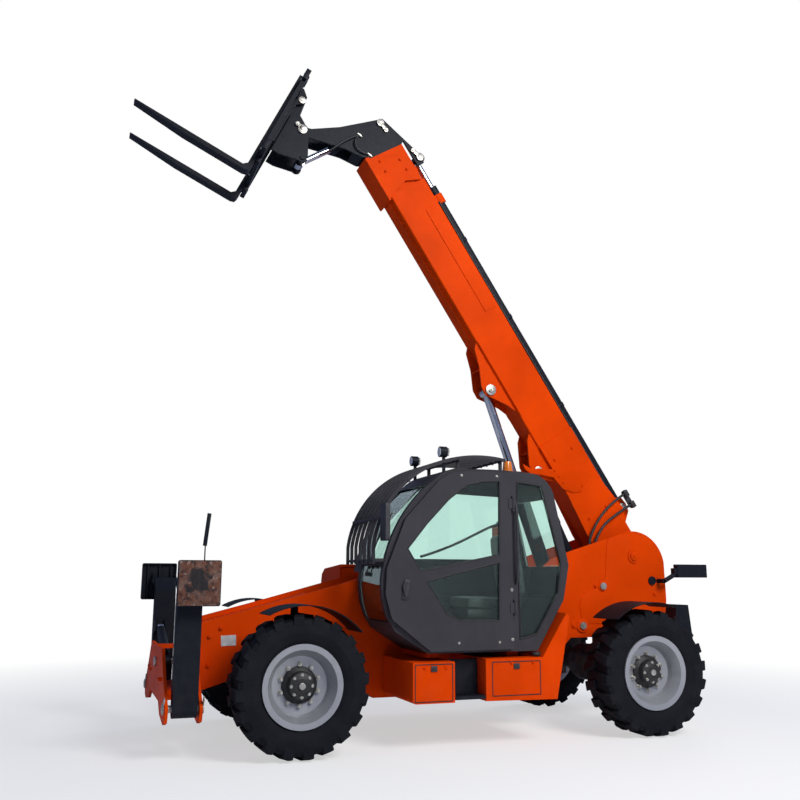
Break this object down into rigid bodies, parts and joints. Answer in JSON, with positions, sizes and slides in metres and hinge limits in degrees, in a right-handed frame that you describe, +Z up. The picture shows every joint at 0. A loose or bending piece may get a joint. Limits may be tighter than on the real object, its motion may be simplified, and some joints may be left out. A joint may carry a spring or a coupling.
{
  "type": "telehandler",
  "caption": "Telescopic handler with raised two-stage boom, side cab, fork carriage, four-wheel steering and swing-down front stabiliser legs.",
  "frame": {"origin": "on the ground, midway between the machine's ends and sides as parked with the boom raised", "axes": "+X forward, +Y to the machine's left, +Z up"},
  "size_m": [6.2564, 2.555, 6.581],
  "materials": {
    "orange_paint": "gloss",
    "rim_silver": "satin",
    "tyre_rubber": "matt",
    "axle_grey": "satin",
    "black_plastic": "matt",
    "black_paint": "satin",
    "cab_grey": "satin",
    "window_glass": "clear",
    "interior_plastic": "matt",
    "rod_chrome": "polished",
    "cylinder_black": "satin",
    "seat_fabric": "matt"
  },
  "bodies": {
    "chassis": {"chassis_frame": "orange_paint", "counterweight": "black_paint", "front_deck": "orange_paint", "front_beam": "orange_paint", "frame_pins": "rod_chrome", "front_axle": "axle_grey", "rear_axle": "axle_grey", "cab_shell": "cab_grey", "cab_glass": "window_glass", "cab_guard": "cab_grey", "seat": "seat_fabric", "dashboard": "interior_plastic", "roof_lights": "black_paint", "mirror": "black_paint", "side_boxes": "orange_paint", "cab_step": "black_paint", "engine_bay": "orange_paint", "engine_block": "black_paint", "rear_lamps": "black_paint"},
    "door": {"door_frame": "cab_grey", "door_glass": "window_glass"},
    "hood": {"engine_hood": "orange_paint"},
    "front_left_steer": {"front_left_knuckle": "axle_grey", "front_left_fender": "black_plastic"},
    "front_left_roll": {"front_left_wheel": "rim_silver", "front_left_tyre": "tyre_rubber"},
    "front_right_steer": {"front_right_knuckle": "axle_grey", "front_right_fender": "black_plastic"},
    "front_right_roll": {"front_right_wheel": "rim_silver", "front_right_tyre": "tyre_rubber"},
    "rear_left_steer": {"rear_left_knuckle": "axle_grey", "rear_left_fender": "black_plastic"},
    "rear_left_roll": {"rear_left_wheel": "rim_silver", "rear_left_tyre": "tyre_rubber"},
    "rear_right_steer": {"rear_right_knuckle": "axle_grey", "rear_right_fender": "black_plastic"},
    "rear_right_roll": {"rear_right_wheel": "rim_silver", "rear_right_tyre": "tyre_rubber"},
    "boom": {"boom_base": "orange_paint", "extension_barrel": "cylinder_black"},
    "boom_stage": {"boom_inner": "orange_paint", "boom_head": "black_paint", "extension_rod": "rod_chrome"},
    "lift_cylinder": {"lift_barrel": "orange_paint"},
    "lift_piston": {"lift_rod": "rod_chrome"},
    "level_cylinder": {"level_barrel": "orange_paint"},
    "level_piston": {"level_rod": "rod_chrome"},
    "carriage": {"coupler": "black_paint", "fork_carriage": "black_paint", "forks": "black_paint"},
    "tilt_cylinder": {"tilt_barrel": "cylinder_black"},
    "tilt_piston": {"tilt_rod": "rod_chrome"},
    "left_leg": {"stabiliser_leg_left": "black_paint"},
    "left_foot": {"stabiliser_foot_left": "black_paint"},
    "left_leg_cylinder": {"stabiliser_barrel_left": "orange_paint"},
    "left_leg_piston": {"stabiliser_rod_left": "rod_chrome"},
    "right_leg": {"stabiliser_leg_right": "black_paint"},
    "right_foot": {"stabiliser_foot_right": "black_paint"},
    "right_leg_cylinder": {"stabiliser_barrel_right": "orange_paint"},
    "right_leg_piston": {"stabiliser_rod_right": "rod_chrome"}
  },
  "joints": [
    {"name": "front_left_steering", "type": "hinge", "parent": "chassis", "child": "front_left_steer", "pos_m": [1.52, 0.78, 0.585], "axis": [0, 0, 1], "range_deg": [-30, 30]},
    {"name": "front_left_spin", "type": "hinge", "parent": "front_left_steer", "child": "front_left_roll", "pos_m": [1.52, 1.04, 0.585], "axis": [0, 1, 0], "continuous": true},
    {"name": "front_right_steering", "type": "hinge", "parent": "chassis", "child": "front_right_steer", "pos_m": [1.52, -0.78, 0.585], "axis": [0, 0, 1], "range_deg": [-30, 30]},
    {"name": "front_right_spin", "type": "hinge", "parent": "front_right_steer", "child": "front_right_roll", "pos_m": [1.52, -1.04, 0.585], "axis": [0, 1, 0], "continuous": true},
    {"name": "rear_left_steering", "type": "hinge", "parent": "chassis", "child": "rear_left_steer", "pos_m": [-1.918, 0.78, 0.585], "axis": [0, 0, 1], "range_deg": [-30, 30]},
    {"name": "rear_left_spin", "type": "hinge", "parent": "rear_left_steer", "child": "rear_left_roll", "pos_m": [-1.918, 1.04, 0.585], "axis": [0, 1, 0], "continuous": true},
    {"name": "rear_right_steering", "type": "hinge", "parent": "chassis", "child": "rear_right_steer", "pos_m": [-1.918, -0.78, 0.585], "axis": [0, 0, 1], "range_deg": [-30, 30]},
    {"name": "rear_right_spin", "type": "hinge", "parent": "rear_right_steer", "child": "rear_right_roll", "pos_m": [-1.918, -1.04, 0.585], "axis": [0, 1, 0], "continuous": true},
    {"name": "door_hinge", "type": "hinge", "parent": "chassis", "child": "door", "pos_m": [-0.465, 1.172, 1.6], "axis": [0, 0, 1], "range_deg": [0, 110]},
    {"name": "hood_hinge", "type": "hinge", "parent": "chassis", "child": "hood", "pos_m": [-0.1, -0.388, 1.583], "axis": [-1, 0, 0], "range_deg": [0, 60]},
    {"name": "boom_lift", "type": "hinge", "parent": "chassis", "child": "boom", "pos_m": [-2.3, 0, 1.7], "axis": [0, -1, 0], "range_deg": [-58, 10]},
    {"name": "boom_extend", "type": "slide", "parent": "boom", "child": "boom_stage", "axis": [0.5446, 0, 0.8387], "range_m": [0, 3.6]},
    {"name": "lift_cylinder_turn", "type": "hinge", "parent": "chassis", "child": "lift_cylinder", "pos_m": [-1.64, 0, 0.984], "axis": [0, -1, 0], "range_deg": [-57, 10]},
    {"name": "lift_piston_slide", "type": "slide", "parent": "lift_cylinder", "child": "lift_piston", "axis": [0.3343, 0, 0.9425], "range_m": [-0.96, 0.17]},
    {"name": "level_cylinder_turn", "type": "hinge", "parent": "chassis", "child": "level_cylinder", "pos_m": [-1.9, 0, 1.385], "axis": [0, -1, 0], "range_deg": [-65, 12]},
    {"name": "level_piston_slide", "type": "slide", "parent": "level_cylinder", "child": "level_piston", "axis": [0.4307, 0, 0.9025], "range_m": [-0.5, 0.09]},
    {"name": "carriage_tilt", "type": "hinge", "parent": "boom_stage", "child": "carriage", "pos_m": [1.40769, 0, 6.1149], "axis": [0, 1, 0], "range_deg": [-40, 60]},
    {"name": "tilt_cylinder_turn", "type": "hinge", "parent": "boom_stage", "child": "tilt_cylinder", "pos_m": [0.53032, 0, 6.37228], "axis": [0, 1, 0], "range_deg": [-6, 9]},
    {"name": "tilt_piston_slide", "type": "slide", "parent": "tilt_cylinder", "child": "tilt_piston", "axis": [0.8334, 0, -0.5527], "range_m": [-0.3, 0.2]},
    {"name": "left_leg_swing", "type": "hinge", "parent": "chassis", "child": "left_leg", "pos_m": [2.44, 0.93, 0.42], "axis": [-1, 0, 0], "range_deg": [0, 101.5]},
    {"name": "left_foot_tilt", "type": "hinge", "parent": "left_leg", "child": "left_foot", "pos_m": [2.44, 1.03, 1.42], "axis": [1, 0, 0], "range_deg": [-15, 15]},
    {"name": "left_leg_cylinder_turn", "type": "hinge", "parent": "chassis", "child": "left_leg_cylinder", "pos_m": [2.4, -0.06, 0.72], "axis": [-1, 0, 0], "range_deg": [0, 27]},
    {"name": "left_leg_piston_slide", "type": "slide", "parent": "left_leg_cylinder", "child": "left_leg_piston", "axis": [0, 0.9587, 0.2843], "range_m": [0, 0.7]},
    {"name": "right_leg_swing", "type": "hinge", "parent": "chassis", "child": "right_leg", "pos_m": [2.46, -0.93, 0.42], "axis": [1, 0, 0], "range_deg": [0, 101.5]},
    {"name": "right_foot_tilt", "type": "hinge", "parent": "right_leg", "child": "right_foot", "pos_m": [2.46, -1.03, 1.42], "axis": [1, 0, 0], "range_deg": [-15, 15]},
    {"name": "right_leg_cylinder_turn", "type": "hinge", "parent": "chassis", "child": "right_leg_cylinder", "pos_m": [2.5, 0.06, 0.72], "axis": [1, 0, 0], "range_deg": [0, 27]},
    {"name": "right_leg_piston_slide", "type": "slide", "parent": "right_leg_cylinder", "child": "right_leg_piston", "axis": [0, -0.9587, 0.2843], "range_m": [0, 0.7]}
  ],
  "couplings": [
    {"joint": "front_right_steering", "follows": "front_left_steering", "ratio": 1},
    {"joint": "rear_left_steering", "follows": "front_left_steering", "ratio": -1},
    {"joint": "rear_right_steering", "follows": "front_left_steering", "ratio": -1},
    {"joint": "lift_cylinder_turn", "follows": "boom_lift", "ratio": 0.965},
    {"joint": "lift_piston_slide", "follows": "boom_lift", "m_per_rad": 0.932},
    {"joint": "level_cylinder_turn", "follows": "boom_lift", "ratio": 1.1026},
    {"joint": "level_piston_slide", "follows": "boom_lift", "m_per_rad": 0.4843},
    {"joint": "tilt_cylinder_turn", "follows": "carriage_tilt", "ratio": 0.12},
    {"joint": "tilt_piston_slide", "follows": "carriage_tilt", "m_per_rad": -0.2783},
    {"joint": "left_leg_cylinder_turn", "follows": "left_leg_swing", "ratio": 0.228},
    {"joint": "left_leg_piston_slide", "follows": "left_leg_swing", "m_per_rad": 0.395},
    {"joint": "right_leg_cylinder_turn", "follows": "right_leg_swing", "ratio": 0.228},
    {"joint": "right_leg_piston_slide", "follows": "right_leg_swing", "m_per_rad": 0.395}
  ]
}
